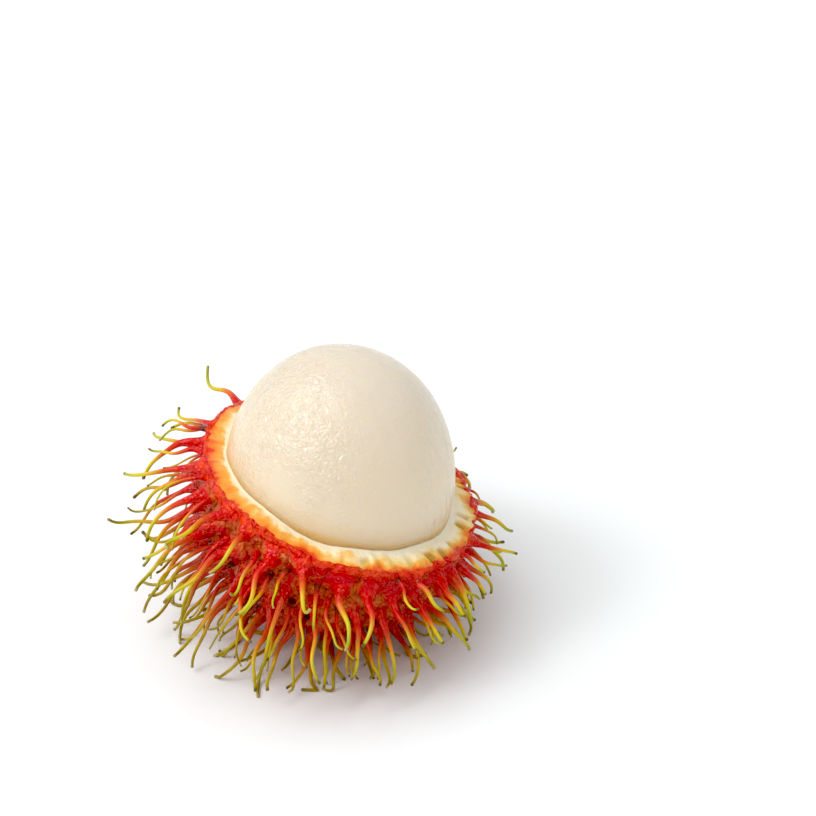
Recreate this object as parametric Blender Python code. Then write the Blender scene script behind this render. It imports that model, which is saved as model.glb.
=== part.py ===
"""An opened rambutan: the lower half of the spiny rind, with the whole pale flesh standing in it.

The fruit stands on the XY plane, +Z up. The origin is the flat end of the stalk scar, which is
the small flat spot under the middle of the fruit. Two nodes: the rind with its soft spines, and
the flesh, which sits in the rind's cup with a hair's gap all round.
"""
import math

import bmesh
import bpy
import numpy as np

# Driving dimensions, in metres.
FLESH_RADIUS = 0.0151        # across the flesh
FLESH_HALF_LENGTH = 0.0180   # along the flesh, which stands upright
FLESH_HEIGHT = 0.0226        # middle of the flesh above the surface
GAP = 0.0003                 # between the flesh and the rind
WALL = 0.0026                # thickness of the rind
RIM_TILT = math.radians(17)  # the torn rim runs down towards +X
RIM_DROP = 0.0006            # the rim's plane below the middle of the flesh
RIM_WAVE = 0.00025           # the torn edge rises and falls by this much
RIM_MARGIN = 0.0013          # no spine stands closer to the torn edge
SCAR_RADIUS = 0.0017         # the flat stalk scar that the fruit stands on
SCAR_FLARE = 1.5             # the stub widens by this factor up to the skin
SCAR_BELOW = 0.0008          # the stub starts this far under the surface, and is cut off there
SCAR_TOP = 0.0032            # and ends at this height, inside the rind
SCAR_CLEARANCE = 1.6         # in scar radii, kept free of spines round the scar

# The spines: lengths in metres, radii at the skin, over the slender part and at the tip.
SPACING = 0.0040
SPINE_LENGTH = 0.0103
LENGTH_SPREAD = 0.16         # share by which a spine can be shorter or longer
SHORTER_BY = 0.22            # share that spines lose towards the rim's low side, and gain opposite
LOW_LENGTH = 0.76            # share of its length that a spine on the underside keeps
RIM_LENGTH = 0.66            # share of its length that a spine at the rim keeps
RIM_REACH = 0.008            # this far below the rim's plane a spine has its whole length
SPINE_ROOT_RADIUS = 0.00160
SPINE_RADIUS = 0.00050
SPINE_TIP_RADIUS = 0.00031
FLARE_SHARE = 0.15           # share of its length over which a spine's foot narrows
ROOT_DEPTH = 0.0012          # how far a spine's root is sunk in the rind
ROOT_SWELL = 1.15            # the sunk end is wider than the foot by this factor
ROOT_JITTER = 0.022          # a root is nudged by this share of the fruit's radius

# How a spine bends, as shares of its starting direction: the least and the most.
LEAN = (0.0, 0.28)           # sideways from the start
DROOP = (0.7, 1.7)           # downwards, growing with the power DROOP_GROWTH of the way along
SWAY = (0.2, 0.8)            # sideways, growing with the square
HOOK = (0.3, 1.5)            # the hooked tip, growing with the power HOOK_GROWTH
DROOP_GROWTH = 1.5
HOOK_GROWTH = 6
CROWDED_BELOW = 0.0015       # a spine rooted at this height has no room to point down
FREE_ABOVE = 0.0105          # one rooted at this height has all the room it wants
SPREAD_OUTWARDS = 1.8        # outward pull on the start of a spine that has no room
SPREAD_KEEPS = 0.35          # share of its downward part that such a start keeps
FLOOR_SHARE = 0.8            # a centre line stays this share of the spine's radius up

SEED = 7

# Mesh density.
RIND_COLUMNS = 40
OUTER_ROWS = 10
INNER_ROWS = 7
SPINE_SIDES = 5
SPINE_STATIONS = np.array([0.19, 0.48, 0.78, 1.0])
PATH_STEPS = 24
SCAR_SIDES = 12
FLESH_COLUMNS = 40
FLESH_ROWS = 22
STRAIGHT = 0.05              # sine of the turn under which a spine's path counts as straight
CUTTER_SIZE = 0.1

RIND_COLOUR = (0.48, 0.03, 0.02)
FLESH_COLOUR = (0.82, 0.74, 0.60)

INNER_RADII = np.array([FLESH_RADIUS, FLESH_RADIUS, FLESH_HALF_LENGTH]) + GAP
OUTER_RADII = INNER_RADII + WALL
CENTRE = np.array([0.0, 0.0, FLESH_HEIGHT])
RIM_NORMAL = np.array([math.sin(RIM_TILT), 0.0, math.cos(RIM_TILT)])
DOWN = np.array([0.0, 0.0, -1.0])


def unit(vectors):
    """Vectors divided by their lengths."""
    return vectors / np.maximum(np.linalg.norm(vectors, axis=-1, keepdims=True), 1e-12)


def clear_scene():
    for obj in list(bpy.data.objects):
        bpy.data.objects.remove(obj, do_unlink=True)


def material(name, colour, roughness):
    """A Principled material of one colour, neither metallic nor clear."""
    made = bpy.data.materials.new(name)
    made.use_nodes = True
    shader = made.node_tree.nodes["Principled BSDF"]
    shader.inputs["Base Color"].default_value = (*colour, 1.0)
    shader.inputs["Roughness"].default_value = roughness
    shader.inputs["Metallic"].default_value = 0.0
    return made


def mesh_object(name, points, faces, collection):
    mesh = bpy.data.meshes.new(name)
    mesh.from_pydata([tuple(p) for p in points], [], faces)
    mesh.validate()
    mesh.update()
    obj = bpy.data.objects.new(name, mesh)
    collection.objects.link(obj)
    return obj


def rim_latitude(azimuth, radii):
    """Latitude at which an upright ellipsoid meets the tilted, gently wavy plane of the rim."""
    wave = RIM_WAVE * (np.sin(5 * azimuth + 0.7) + 0.6 * np.sin(9 * azimuth + 2.1))
    across = RIM_NORMAL[0] * radii[0] * np.cos(azimuth)
    along = RIM_NORMAL[2] * radii[2]
    return np.arcsin((wave - RIM_DROP) / np.hypot(across, along)) - np.arctan2(across, along)


def ellipsoid_points(azimuth, latitude, radii):
    level = np.cos(latitude)
    return CENTRE + radii * np.stack(
        [level * np.cos(azimuth), level * np.sin(azimuth), np.sin(latitude)], axis=-1
    )


def cup_rows(shares, radii):
    """Rings of points on an ellipsoid, each a share of the way from the lower pole to the rim."""
    azimuth = np.arange(RIND_COLUMNS) * 2 * math.pi / RIND_COLUMNS
    climb = rim_latitude(azimuth, radii) + math.pi / 2
    return [ellipsoid_points(azimuth, share * climb - math.pi / 2, radii) for share in shares]


def cup(name):
    """The half rind as one closed shell: up the outside, across the torn rim, down the inside."""
    rows = cup_rows(np.arange(1, OUTER_ROWS + 1) / OUTER_ROWS, OUTER_RADII)
    rows += cup_rows(np.arange(INNER_ROWS, 0, -1) / INNER_ROWS, INNER_RADII)
    poles = [CENTRE + DOWN * OUTER_RADII, CENTRE + DOWN * INNER_RADII]
    points = np.concatenate([poles[:1], *rows, poles[1:]])
    first_top = 1 + (len(rows) - 1) * RIND_COLUMNS
    last = len(points) - 1
    faces = []
    for j in range(RIND_COLUMNS):
        k = (j + 1) % RIND_COLUMNS
        faces.append((0, 1 + k, 1 + j))
        for low in range(1, first_top, RIND_COLUMNS):
            high = low + RIND_COLUMNS
            faces.append((low + j, low + k, high + k, high + j))
        faces.append((first_top + j, first_top + k, last))
    return mesh_object(name, points, faces, bpy.context.scene.collection)


def spine_roots(random):
    """Points spread evenly over the whole fruit by the golden angle and nudged, kept below the rim."""
    area = 4 * math.pi * OUTER_RADII[0] * (OUTER_RADII[0] + 2 * OUTER_RADII[2]) / 3
    count = int(area / (SPACING**2 * math.sqrt(3) / 2))
    index = np.arange(count)
    height = -1 + (2 * index + 1) / count
    turn = index * math.pi * (3 - math.sqrt(5))
    level = np.sqrt(1 - height**2)
    sphere = np.stack([level * np.cos(turn), level * np.sin(turn), height], axis=1)
    sphere = unit(sphere + random.normal(0, ROOT_JITTER, sphere.shape))
    roots = CENTRE + sphere * OUTER_RADII
    below_rim = (roots - CENTRE) @ RIM_NORMAL < -RIM_DROP - RIM_MARGIN
    beside_scar = np.hypot(roots[:, 0], roots[:, 1]) > SCAR_CLEARANCE * SCAR_RADIUS
    kept = below_rim & beside_scar
    return roots[kept], unit(sphere[kept] / OUTER_RADII)


def spine_paths(roots, normals, random):
    """Centre lines. A spine leaves along the skin's normal and leans, droops and hooks as it goes.

    With s the share of the way along, the free direction is
    start + lean + s^DROOP_GROWTH droop + s^2 sway + s^HOOK_GROWTH hook.
    What would pass under the surface is bent along it, at the same length.
    """
    count = len(roots)
    s = np.linspace(0, 1, PATH_STEPS + 1)
    sideways = unit(np.cross(normals, unit(random.normal(size=(count, 3)))))
    hook_side = unit(np.cross(normals, unit(random.normal(size=(count, 3)))))
    lean = random.uniform(*LEAN, (count, 1)) * sideways
    droop = random.uniform(*DROOP, (count, 1)) * DOWN
    sway = random.uniform(*SWAY, (count, 1)) * sideways
    hook = random.uniform(*HOOK, (count, 1)) * hook_side
    spread = random.uniform(1 - LENGTH_SPREAD, 1 + LENGTH_SPREAD, count)
    room = np.clip((roots[:, 2:] - CROWDED_BELOW) / (FREE_ABOVE - CROWDED_BELOW), 0, 1)
    length = SPINE_LENGTH * spread * (1 - SHORTER_BY * normals[:, 0])
    below_rim = np.clip((CENTRE - roots) @ RIM_NORMAL / RIM_REACH, 0, 1)
    length = length * (RIM_LENGTH + (1 - RIM_LENGTH) * below_rim)
    length = length * (LOW_LENGTH + (1 - LOW_LENGTH) * room[:, 0]) / PATH_STEPS
    outwards = unit((roots - CENTRE) * [1, 1, 0])
    flattened = unit(normals * [1, 1, SPREAD_KEEPS] + SPREAD_OUTWARDS * outwards)
    start = unit(normals * room + flattened * (1 - room))
    middle = (s[1:] + s[:-1])[:, None, None] / 2
    bent = middle**DROOP_GROWTH * droop * room + middle**2 * sway + middle**HOOK_GROWTH * hook
    step = unit(start + lean + bent) * length[None, :, None]
    z = roots[:, 2] + np.concatenate([np.zeros((1, count)), np.cumsum(step[..., 2], axis=0)])
    z = np.maximum(z, FLOOR_SHARE * spine_radius(s)[:, None])
    run = np.sqrt(np.maximum(length**2 - np.diff(z, axis=0) ** 2, 0))
    heading = unit(step[..., :2] + 1e-5 * outwards[:, :2])
    xy = np.concatenate([np.zeros((1, count, 2)), np.cumsum(heading * run[..., None], axis=0)])
    paths = np.concatenate([xy + roots[:, :2], z[..., None]], axis=2)
    return paths.transpose(1, 0, 2), start


def spine_radius(s):
    """Wide at the root, quickly slender, then a slow taper to the blunt tip."""
    slender = SPINE_RADIUS + (SPINE_TIP_RADIUS - SPINE_RADIUS) * s
    return slender + (SPINE_ROOT_RADIUS - SPINE_RADIUS) * np.exp(-s / FLARE_SHARE)


def spine_mesh(name, path, start, collection):
    """A closed tube of few sides round one path, with its root carried on into the rind."""
    index = np.round(SPINE_STATIONS * PATH_STEPS).astype(int)
    centres = np.concatenate([[path[0] - start * ROOT_DEPTH], path[index]])
    radii = np.concatenate([[SPINE_ROOT_RADIUS * ROOT_SWELL], spine_radius(SPINE_STATIONS)])
    along = unit(np.gradient(centres, axis=0))
    across = np.cross(along[0], along[-1])
    if np.linalg.norm(across) < STRAIGHT:
        across = np.cross(along[0], [0.3, 0.5, 0.8])
    first = unit(across - along * (along @ across)[:, None])
    second = np.cross(along, first)
    angle = np.arange(SPINE_SIDES) * 2 * math.pi / SPINE_SIDES
    ring = first[:, None] * np.cos(angle)[:, None] + second[:, None] * np.sin(angle)[:, None]
    points = (centres[:, None] + ring * radii[:, None, None]).reshape(-1, 3)
    top = len(points) - SPINE_SIDES
    faces = [tuple(range(SPINE_SIDES))[::-1], tuple(range(top, top + SPINE_SIDES))]
    for low in range(0, top, SPINE_SIDES):
        high = low + SPINE_SIDES
        for j in range(SPINE_SIDES):
            k = (j + 1) % SPINE_SIDES
            faces.append((low + j, low + k, high + k, high + j))
    return mesh_object(name, points, faces, collection)


def solid_object(name, shape, collection):
    """The object made from a bmesh, which is freed."""
    mesh = bpy.data.meshes.new(name)
    shape.to_mesh(mesh)
    shape.free()
    obj = bpy.data.objects.new(name, mesh)
    collection.objects.link(obj)
    return obj


def scar_mesh(collection):
    """The stub of the stalk: a short round boss from inside the rind to below the surface."""
    shape = bmesh.new()
    bmesh.ops.create_cone(
        shape,
        cap_ends=True,
        segments=SCAR_SIDES,
        radius1=SCAR_RADIUS,
        radius2=SCAR_RADIUS * SCAR_FLARE,
        depth=SCAR_TOP + SCAR_BELOW,
    )
    bmesh.ops.translate(shape, verts=shape.verts, vec=(0, 0, (SCAR_TOP - SCAR_BELOW) / 2))
    return solid_object("scar", shape, collection)


def surface_cutter():
    """A block that fills the space under the surface that the fruit stands on."""
    shape = bmesh.new()
    bmesh.ops.create_cube(shape, size=CUTTER_SIZE)
    bmesh.ops.translate(shape, verts=shape.verts, vec=(0, 0, -CUTTER_SIZE / 2))
    cutter = solid_object("surface_cutter", shape, bpy.context.scene.collection)
    cutter.hide_render = True
    return cutter


def applied(obj):
    """Replaces an object's mesh by its evaluated mesh, without its modifiers."""
    bpy.context.view_layer.update()
    graph = bpy.context.evaluated_depsgraph_get()
    mesh = bpy.data.meshes.new_from_object(obj.evaluated_get(graph))
    obj.modifiers.clear()
    obj.data = mesh


def make_rind():
    """The cup with every spine and the stalk's stub joined on, cut flat where it stands."""
    random = np.random.default_rng(SEED)
    rind = cup("rind")
    spines = bpy.data.collections.new("spines")
    bpy.context.scene.collection.children.link(spines)
    roots, normals = spine_roots(random)
    paths, starts = spine_paths(roots, normals, random)
    for number, (path, start) in enumerate(zip(paths, starts)):
        spine_mesh(f"spine_{number}", path, start, spines)
    scar_mesh(spines)
    join = rind.modifiers.new("join spines", "BOOLEAN")
    join.operation = "UNION"
    join.operand_type = "COLLECTION"
    join.collection = spines
    join.solver = "MANIFOLD"
    applied(rind)
    for obj in list(spines.objects):
        bpy.data.objects.remove(obj, do_unlink=True)
    bpy.data.collections.remove(spines)
    cutter = surface_cutter()
    cut = rind.modifiers.new("flat underside", "BOOLEAN")
    cut.operation = "DIFFERENCE"
    cut.object = cutter
    cut.solver = "MANIFOLD"
    applied(rind)
    bpy.data.objects.remove(cutter, do_unlink=True)
    rind.data.materials.clear()
    rind.data.materials.append(material("rind_red", RIND_COLOUR, 0.4))
    print(f"rind: {len(roots)} spines, {len(rind.data.polygons)} faces")


def make_flesh():
    """The whole flesh, an upright ellipsoid."""
    shape = bmesh.new()
    bmesh.ops.create_uvsphere(shape, u_segments=FLESH_COLUMNS, v_segments=FLESH_ROWS, radius=1)
    bmesh.ops.scale(shape, verts=shape.verts, vec=(FLESH_RADIUS, FLESH_RADIUS, FLESH_HALF_LENGTH))
    flesh = solid_object("flesh", shape, bpy.context.scene.collection)
    flesh.location = CENTRE
    flesh.data.shade_smooth()
    flesh.data.materials.append(material("flesh_cream", FLESH_COLOUR, 0.3))


clear_scene()
make_rind()
make_flesh()
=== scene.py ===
# %% [markdown]
# # An opened rambutan
# The upper half of a rambutan's peel is torn off. What is left is a cup of thick, spiny peel, with
# the whole pale flesh standing in it. This lesson dresses the solid model of that fruit: a moist
# flesh, a glossy crimson skin, an orange and cream torn edge, and soft spines that fade from
# crimson to yellow-green. Every surface is worked out with numpy as a function of two parameters
# and put into a mesh, and every finish is made of shader nodes.

import itertools
import math

import bpy
import numpy as np
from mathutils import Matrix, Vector


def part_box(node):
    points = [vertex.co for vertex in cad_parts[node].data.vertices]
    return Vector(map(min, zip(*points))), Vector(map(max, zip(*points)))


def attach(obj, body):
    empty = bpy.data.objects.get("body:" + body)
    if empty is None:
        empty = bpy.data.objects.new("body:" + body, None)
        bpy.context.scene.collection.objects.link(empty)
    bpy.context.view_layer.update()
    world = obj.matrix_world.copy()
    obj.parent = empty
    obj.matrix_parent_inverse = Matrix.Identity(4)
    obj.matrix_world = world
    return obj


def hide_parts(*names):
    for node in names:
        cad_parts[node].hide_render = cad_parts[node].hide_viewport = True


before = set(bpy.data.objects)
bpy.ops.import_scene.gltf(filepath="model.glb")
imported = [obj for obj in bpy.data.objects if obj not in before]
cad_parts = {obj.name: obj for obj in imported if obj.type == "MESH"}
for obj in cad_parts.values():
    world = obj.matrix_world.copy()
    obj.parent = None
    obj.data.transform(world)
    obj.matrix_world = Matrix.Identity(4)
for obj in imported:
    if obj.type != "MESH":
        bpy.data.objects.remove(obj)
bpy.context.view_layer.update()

# %% [markdown]
# ## The camera
# The camera looks along +Y from 35 degrees above the table, half a metre away, through a long lens
# that hardly distorts. It is moved aside and up without being turned, which puts the fruit a
# little left of and below the middle.

# %% Camera
CAMERA_RISE = math.radians(35)
CAMERA_DISTANCE = 0.5  # metres from the middle of the flesh
PICTURE_WIDTH = 0.1061  # metres that the picture takes in at the fruit
CAMERA_ASIDE = 0.0088  # metres that the fruit stands left of the middle
CAMERA_LIFT = 0.0086  # metres that it stands below the middle
SENSOR_WIDTH = 36.0

flesh_box = [np.array(corner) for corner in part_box("flesh")]
CENTRE = (flesh_box[0] + flesh_box[1]) / 2
FLESH_RADII = (flesh_box[1] - flesh_box[0]) / 2


def aimed(name, data, way, distance):
    """A camera or light, this far from the fruit in this direction and facing it."""
    made = bpy.data.objects.new(name, data)
    made.location = Vector(CENTRE) + way * distance
    made.rotation_mode = "QUATERNION"
    made.rotation_quaternion = way.to_track_quat("Z", "Y")
    bpy.context.scene.collection.objects.link(made)
    return made


def make_camera():
    """A camera whose lens is sensor width times distance over picture width."""
    right = Vector((1, 0, 0))
    back = Vector((0, -math.cos(CAMERA_RISE), math.sin(CAMERA_RISE)))
    camera = aimed("camera", bpy.data.cameras.new("camera"), back, CAMERA_DISTANCE)
    camera.location += right * CAMERA_ASIDE + back.cross(right) * CAMERA_LIFT
    camera.data.sensor_width = SENSOR_WIDTH
    camera.data.lens = SENSOR_WIDTH * CAMERA_DISTANCE / PICTURE_WIDTH
    bpy.context.scene.camera = camera


make_camera()

# %% [markdown]
# ## Table and light
# The fruit lies on a white table under a soft box, overhead and a little to the left, whose size
# gives the shadow its soft edge and the flesh its broad highlight. A smaller, brighter lamp adds
# the sparkle on everything wet, and a white world fills the shadows. Last, the picture is graded:
# its lightest tones turn white and its darkest ones black.

# %% Table and light
TABLE_HALF = 3.0  # metres from the table's middle to its edges
LIGHT_DISTANCE = 0.9  # metres from the fruit to each light


def make_table():
    """A flat square that the fruit stands on."""
    mesh = bpy.data.meshes.new("table")
    near, far = -TABLE_HALF, TABLE_HALF
    corners = [(near, near, 0), (far, near, 0), (far, far, 0), (near, far, 0)]
    mesh.from_pydata(corners, [], [(0, 1, 2, 3)])
    table = bpy.data.objects.new("table", mesh)
    bpy.context.scene.collection.objects.link(table)
    return table


def soft_light(name, towards, size, power):
    """A white square light, size metres wide and of power watts."""
    lamp = bpy.data.lights.new(name, "AREA")
    light = aimed(name, lamp, Vector(towards).normalized(), LIGHT_DISTANCE)
    light.data.size = size
    light.data.energy = power
    light.visible_camera = False


def white_world(strength):
    """Even white light from all round."""
    world = bpy.data.worlds.new("studio")
    bpy.context.scene.world = world
    world.use_nodes = True
    background = world.node_tree.nodes["Background"]
    background.inputs["Color"].default_value = (1, 1, 1, 1)
    background.inputs["Strength"].default_value = strength


def grade(black, white):
    """Contrast: tones below black turn black, and those above white turn white."""
    view = bpy.context.scene.view_settings
    view.view_transform = "Standard"
    view.use_curve_mapping = True
    view.curve_mapping.black_level = (black, black, black)
    view.curve_mapping.white_level = (white, white, white)
    view.curve_mapping.update()


table = make_table()
soft_light("softbox", towards=(-0.55, -0.15, 0.82), size=0.95, power=4.6)
soft_light("spark", towards=(-0.62, -0.21, 0.75), size=0.22, power=1.6)
white_world(strength=0.73)
grade(black=0.025, white=0.98)

# %% [markdown]
# ## Closed surfaces from grids of points
# Each piece is one or many closed surfaces, and each of those is a grid: rings of points, one after
# another, and one point that closes either end. Array shifts give all the faces at once: a point,
# its neighbour in the ring, and the same two in the next ring. Values that a finish needs, such as
# the share of the way along a spine, go into the mesh as attributes.

# %% Grid to mesh
def unit(vectors):
    """Vectors divided by their lengths."""
    return vectors / np.maximum(np.linalg.norm(vectors, axis=-1, keepdims=True), 1e-12)


def all_round(count):
    """This many angles, evenly spread round a ring."""
    return np.arange(count) * 2 * math.pi / count


def ring_points(angle, radius, height):
    """Points (radius cos(angle), radius sin(angle), height)."""
    way = np.broadcast_arrays(radius * np.cos(angle), radius * np.sin(angle), height)
    return np.stack(way, axis=-1)


def with_ends(values):
    """The grid's values as one list, then the mean of each first ring and of each last ring."""
    ends = values[:, [0, -1]].mean(axis=2)
    return np.concatenate([values.reshape(-1, *values.shape[3:]), ends[:, 0], ends[:, 1]])


def closed_surfaces(name, grid, ends, attributes):
    """A piece made of closed surfaces.

    grid[i, r, c] is point c of ring r of surface i, and ends[i] holds the two points that close
    it. Attributes are spread over the grid: an axis along which their values are alike may be 1.
    """
    count, rows, columns = grid.shape[:3]
    here = np.arange(count * rows * columns).reshape(count, rows, columns)
    beside = np.roll(here, -1, axis=2)
    sides = np.stack([here[:, :-1], beside[:, :-1], beside[:, 1:], here[:, 1:]], axis=-1)
    first = np.broadcast_to(here.size + np.arange(count)[:, None], (count, columns))
    fan_in = np.stack([first, beside[:, 0], here[:, 0]], axis=-1)
    fan_out = np.stack([first + count, here[:, -1], beside[:, -1]], axis=-1)
    faces = sides.reshape(-1, 4).tolist()
    faces += fan_in.reshape(-1, 3).tolist() + fan_out.reshape(-1, 3).tolist()
    points = np.concatenate([grid.reshape(-1, 3), ends[:, 0], ends[:, 1]])
    mesh = bpy.data.meshes.new(name)
    mesh.from_pydata(points.tolist(), [], faces)
    mesh.shade_smooth()
    for key, values in attributes.items():
        flat = with_ends(np.broadcast_to(values, grid.shape[:3] + values.shape[3:]))
        kind, field = ("FLOAT", "value") if flat.ndim == 1 else ("FLOAT_VECTOR", "vector")
        mesh.attributes.new(key, kind, "POINT").data.foreach_set(field, flat.ravel())
    piece = bpy.data.objects.new(name, mesh)
    bpy.context.scene.collection.objects.link(piece)
    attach(piece, "root")
    print(f"{name}: {len(points)} points, {len(faces)} faces")
    return piece


# %% [markdown]
# ## Random relief that is the same each time
# Nothing that grows is quite smooth. Relief comes from value noise: space is cut into cubes, each
# corner of the grid gets a number from a whole-number hash, and a point takes the smooth mix of
# its cube's eight corners. It depends on the place and the seed alone, so it has no seams and
# never changes. Each use below is three numbers with a name: the height, the lumps' size and the
# seed. The skin's and the pith's edges share a seed, so that they stray together.

# %% Noise
HASH_STEPS = np.array([73856093, 19349663, 83492791])
HASH_SEED_STEP = 1013
HASH_FACTOR = 1274126177
HASH_VALUES = 65536
CUBES_ASIDE = 512.0  # keeps the cubes' numbers positive


def noise(points, height, size, seed):
    """Smooth random values from -height to height, in lumps of the given size in metres."""
    place = points / size + CUBES_ASIDE
    low = np.floor(place).astype(np.int64)
    share = smooth(place - low, 0, 1)
    total = np.zeros(points.shape[:-1])
    for corner in itertools.product((0, 1), repeat=3):
        key = (low + corner) @ HASH_STEPS + seed * HASH_SEED_STEP
        key = (key ^ (key >> 13)) * HASH_FACTOR % 2**32
        key = (key ^ (key >> 16)) % HASH_VALUES
        weight = np.where(np.array(corner) == 1, share, 1 - share).prod(axis=-1)
        total += weight * (key / ((HASH_VALUES - 1) / 2) - 1)
    return total * height


def smooth(values, low, high):
    """0 below low, 1 above high, and a smooth S between them. High may be the lower one."""
    t = np.clip((values - low) / (high - low), 0, 1)
    return t * t * (3 - 2 * t)


# %% [markdown]
# ## Shader maths as Python
# A finish is mostly arithmetic on patterns. A small class holds one output of a shader node, and
# its operators add Math nodes, so `1 - mask * 0.5` reads as what it does. Colours go through the
# Mix node, because a Math node would turn them grey.

# %% The Paint class
class Paint:
    """One output of a node in a material. Arithmetic on it adds Math nodes."""

    def __init__(self, tree, socket=None):
        self.tree = tree
        self.socket = socket

    def node(self, kind, settings=None, sockets=None, output=0):
        """Adds a node: its settings first, then its sockets' values or links. Gives one output."""
        made = self.tree.nodes.new(kind)
        for key, value in (settings or {}).items():
            setattr(made, key, value)
        for key, value in (sockets or {}).items():
            if isinstance(value, Paint):
                self.tree.links.new(made.inputs[key], value.socket)
            else:
                made.inputs[key].default_value = value
        return Paint(self.tree, made.outputs[output])

    def maths(self, operation, *values):
        """A Math node on these values."""
        sockets = dict(enumerate(values))
        return self.node("ShaderNodeMath", {"operation": operation}, sockets)

    def __add__(self, other):
        return self.maths("ADD", self, other)

    __radd__ = __add__

    def __sub__(self, other):
        return self.maths("SUBTRACT", self, other)

    def __rsub__(self, other):
        return self.maths("SUBTRACT", other, self)

    def __mul__(self, other):
        return self.maths("MULTIPLY", self, other)

    __rmul__ = __mul__

    def step(self, low, high):
        """0 where this is below low, 1 above high, and smooth between them."""
        sockets = {"Value": self, "From Min": low, "From Max": high}
        return self.node("ShaderNodeMapRange", {"interpolation_type": "SMOOTHSTEP"}, sockets)

    def mix(self, under, over):
        """The colour under where this is 0, and the colour over where it is 1."""
        sockets = {"Factor": self, 6: rgba(under), 7: rgba(over)}
        return self.node("ShaderNodeMix", {"data_type": "RGBA"}, sockets, 2)

    def ramp(self, stops):
        """The colour that this value picks from a list of (position, colour)."""
        made = self.node("ShaderNodeValToRGB", sockets={"Fac": self})
        elements = made.socket.node.color_ramp.elements
        while len(elements) < len(stops):
            elements.new(0.5)
        for element, (position, colour) in zip(elements, stops):
            element.position = position
            element.color = (*colour, 1)
        return made

    def attribute(self, name, output="Fac"):
        """A value that the mesh holds under this name. Its output is Vector for three numbers."""
        return self.node("ShaderNodeAttribute", {"attribute_name": name}, output=output)

    def place(self):
        """Position on the piece, in metres."""
        return self.node("ShaderNodeTexCoord", output="Object")

    def lumps(self, size, detail=2.0, distortion=0.0, where=None):
        """Noise from 0 to 1 in lumps of this size in metres. Distortion curls the lumps."""
        sockets = {"Vector": where or self.place(), "Scale": 1 / size}
        sockets |= {"Detail": detail, "Distortion": distortion}
        return self.node("ShaderNodeTexNoise", sockets=sockets)

    def grains(self, size, smoothness=0.4):
        """Round cells of this size in metres: 0 in the middle of each, more towards its edge."""
        sockets = {"Vector": self.place(), "Scale": 1 / size, "Smoothness": smoothness}
        return self.node("ShaderNodeTexVoronoi", {"feature": "SMOOTH_F1"}, sockets)

    def above_rim(self):
        """Height above the torn plane: normal times place, less normal times middle."""
        sockets = {0: self.place(), 1: tuple(RIM_NORMAL)}
        dot = self.node("ShaderNodeVectorMath", {"operation": "DOT_PRODUCT"}, sockets, "Value")
        return dot - CENTRE @ RIM_NORMAL

    def bump(self, height, depth, under=None, strength=1.0):
        """Normals tilted as if the surface stood up by height times depth metres."""
        sockets = {"Height": height, "Distance": depth, "Strength": strength}
        if under:
            sockets["Normal"] = under
        return self.node("ShaderNodeBump", sockets=sockets)


def rgba(colour):
    """A Paint as it is, or a colour's three values with a full alpha."""
    return colour if isinstance(colour, Paint) else (*colour, 1)


def finish(piece, name, recipe, **constants):
    """A material on a piece: the recipe gives what varies over it, the constants what doesn't."""
    made = bpy.data.materials.new(name)
    made.use_nodes = True
    shader = made.node_tree.nodes["Principled BSDF"]
    for key, value in constants.items():
        shader.inputs[key.replace("_", " ")].default_value = value
    for key, value in recipe(Paint(made.node_tree)).items():
        made.node_tree.links.new(shader.inputs[key], value.socket)
    piece.data.materials.append(made)
    print(f"{name}: {len(made.node_tree.nodes)} nodes")


TABLE_WHITES = ((0.885, 0.92, 0.93), (0.905, 0.94, 0.95))
TABLE_CLOUD = 0.02


def paper_white(paint):
    """Two near whites, mixed by noise."""
    return {"Base Color": paint.lumps(TABLE_CLOUD).mix(*TABLE_WHITES)}


finish(table, "table_white", paper_white, Roughness=0.6)

# %% [markdown]
# ## The peel's two ellipsoids and its torn rim
# The peel is the space between two upright ellipsoids round the same middle, torn off along a
# plane that runs down towards +X. At each azimuth an ellipsoid meets that plane at one latitude,
# which an arc sine gives. The measures repeat those of the solid model. New here is how the peel
# tore: on the low side its edge sinks, bulges outwards and follows the torn face's ribs in and out.

# %% Measures of the peel
GAP = 0.0003
WALL = 0.0026
RIM_TILT = math.radians(17)
RIM_DROP = 0.0006
RIM_WAVE = 0.00025
RIM_WAVES = ((1.0, 5, 0.7), (0.6, 9, 2.1))  # share, number of waves round the rim, phase
INNER_RADII = FLESH_RADII + GAP
OUTER_RADII = INNER_RADII + WALL
RIM_NORMAL = np.array([math.sin(RIM_TILT), 0.0, math.cos(RIM_TILT)])
DOWN = np.array([0.0, 0.0, -1.0])
ABOVE_TABLE = 0.00003  # undersides that touch the table are pressed flat at this height
BEVEL = 0.0007  # on the low side the torn face's outer edge sinks by this much
FLARE = 0.0006  # and bulges outwards by this much
HIGH_SIDE_SHARE = 0.15  # the high side has this share of both
FLARE_FROM = (0.92, 1.0)  # shares of the way up the peel between which the bulge grows
LOW_SIDE_TURN = math.radians(-12)  # the low side's middle is this far round from +X
LOW_SIDE_FADE = (-0.15, 0.75)  # cosines of the angle from there, where it ends and is full
TOOTH = 0.0026  # from one rib of the low side to the next
TOOTH_TURN = -0.1  # the ribs are clearest at this azimuth
TOOTH_STRAY = (6.5, 0.0042, 5)  # noise that shifts their cosine's phase, in radians
TOOTH_DEPTHS = (1.1, 0.0034, 6)  # noise that makes some of the pits between them deeper
TOOTH_MEAN = 0.55
SCALLOP = 0.00022  # how far the edge follows the ribs in and out
CLEAR_OF_TEAR = 0.0004  # the feet of the spines end this far below the torn face


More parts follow.
